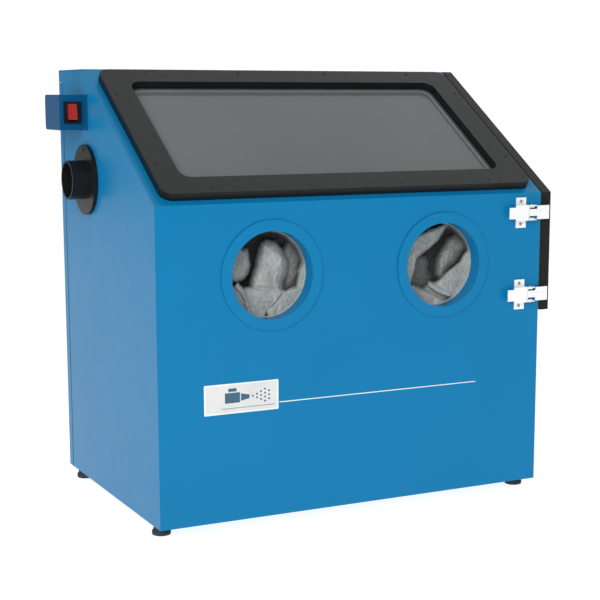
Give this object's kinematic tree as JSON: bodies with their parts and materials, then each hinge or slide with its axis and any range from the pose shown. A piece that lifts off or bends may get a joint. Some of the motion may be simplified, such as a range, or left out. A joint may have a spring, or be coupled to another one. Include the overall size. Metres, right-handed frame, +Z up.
{
  "type": "sandblast cabinet",
  "caption": "Bench-top sandblast cabinet: sheet-steel cabin with sloping window, glove ports, side door on toggle latches, dust spigot, lamp switch, grate, hopper and gun.",
  "frame": {"origin": "bottom centre of the bounding box, on the surface that the feet stand on", "axes": "+X from the switch side to the door side, +Y from the glove ports to the back, +Z up"},
  "size_m": [0.653, 0.438, 0.623],
  "materials": {
    "blue_sheet": "satin powder coat with a fine orange peel",
    "black_sheet": "satin powder coat",
    "black_plastic": "moulded, fine grain",
    "clear_glass": "clear, dark because the chamber behind it is dark",
    "black_rubber": "matt",
    "bright_zinc": "bright zinc plate",
    "bare_steel": "mill finish, dulled",
    "gun_metal": "cast, satin",
    "glove_fabric": "coated cotton, creased",
    "red_plastic": "glossy",
    "white_plastic": "satin",
    "brass_fitting": "turned",
    "nozzle_ceramic": "fired ceramic, matt",
    "hose_rubber": "smooth extruded hose"
  },
  "bodies": {
    "cabinet": {"front_panel": "blue_sheet", "left_side_panel": "blue_sheet", "right_side_panel": "blue_sheet", "rear_cover": "blue_sheet", "floor_pan": "blue_sheet", "switch_bracket": "blue_sheet", "glove_port_ring_left": "blue_sheet", "glove_port_ring_right": "blue_sheet", "window_frame": "black_plastic", "dust_spigot": "black_plastic", "switch_housing": "black_plastic", "power_inlet": "black_plastic", "window_glass": "clear_glass", "glass_gasket": "black_rubber", "foot_front_left": "black_rubber", "foot_front_right": "black_rubber", "foot_rear_left": "black_rubber", "foot_rear_right": "black_rubber", "lamp_cable": "black_rubber", "latch_lower_base": "bright_zinc", "latch_upper_base": "bright_zinc", "hinge_lower_wall_leaf": "bright_zinc", "hinge_upper_wall_leaf": "bright_zinc", "hinge_lower_pin": "bare_steel", "hinge_upper_pin": "bare_steel", "hopper_front": "bare_steel", "hopper_rear": "bare_steel", "hopper_left": "bare_steel", "hopper_right": "bare_steel", "hopper_floor": "bare_steel", "grate_rail_front": "bare_steel", "grate_rail_rear": "bare_steel", "work_grate": "bare_steel", "glass_retainer": "bare_steel", "glove_clamp_left": "bare_steel", "glove_clamp_right": "bare_steel", "dust_baffle": "bare_steel", "pickup_tube": "bare_steel", "gun_body": "gun_metal", "glove_left": "glove_fabric", "glove_right": "glove_fabric", "lamp_housing": "white_plastic", "lamp_led_board": "white_plastic", "lamp_diffuser": "white_plastic", "air_inlet_fitting": "brass_fitting", "gun_nozzle": "nozzle_ceramic", "air_hose": "hose_rubber", "media_hose": "hose_rubber"},
    "side_door": {"door": "black_sheet", "door_seal": "black_rubber", "hinge_lower_door_leaf": "bright_zinc", "hinge_upper_door_leaf": "bright_zinc", "latch_lower_keeper": "bright_zinc", "latch_upper_keeper": "bright_zinc"},
    "lower_lever": {"latch_lower_lever": "bright_zinc"},
    "lower_claw": {"latch_lower_claw": "bright_zinc"},
    "upper_lever": {"latch_upper_lever": "bright_zinc"},
    "upper_claw": {"latch_upper_claw": "bright_zinc"},
    "rocker": {"switch_rocker": "red_plastic"},
    "trigger": {"gun_trigger": "red_plastic"}
  },
  "joints": [
    {"name": "door_hinge", "type": "hinge", "parent": "cabinet", "child": "side_door", "pos_m": [0.3145, 0.1493, 0.445], "axis": [0, 0, 1], "range_deg": [0, 110]},
    {"name": "lower_lever_hinge", "type": "hinge", "parent": "cabinet", "child": "lower_lever", "pos_m": [0.289, -0.215, 0.2975], "axis": [0, 0, 1], "range_deg": [0, 100]},
    {"name": "lower_claw_hinge", "type": "hinge", "parent": "lower_lever", "child": "lower_claw", "pos_m": [0.2845, -0.215, 0.2975], "axis": [0, 0, 1], "range_deg": [-106, 0]},
    {"name": "upper_lever_hinge", "type": "hinge", "parent": "cabinet", "child": "upper_lever", "pos_m": [0.289, -0.215, 0.4175], "axis": [0, 0, 1], "range_deg": [0, 100]},
    {"name": "upper_claw_hinge", "type": "hinge", "parent": "upper_lever", "child": "upper_claw", "pos_m": [0.2845, -0.215, 0.4175], "axis": [0, 0, 1], "range_deg": [-106, 0]},
    {"name": "rocker_hinge", "type": "hinge", "parent": "cabinet", "child": "rocker", "pos_m": [-0.308, 0.0815, 0.5615], "axis": [1, 0, 0], "range_deg": [0, 16]},
    {"name": "trigger_hinge", "type": "hinge", "parent": "cabinet", "child": "trigger", "pos_m": [0.1195, 0.113, 0.279], "axis": [0, 0, 1], "range_deg": [0, 14], "stiffness_Nm_per_rad": 0.2, "springref_deg": -8.59}
  ],
  "couplings": [
    {"joint": "lower_claw_hinge", "follows": "lower_lever_hinge", "ratio": -1.06},
    {"joint": "upper_claw_hinge", "follows": "upper_lever_hinge", "ratio": -1.06}
  ]
}
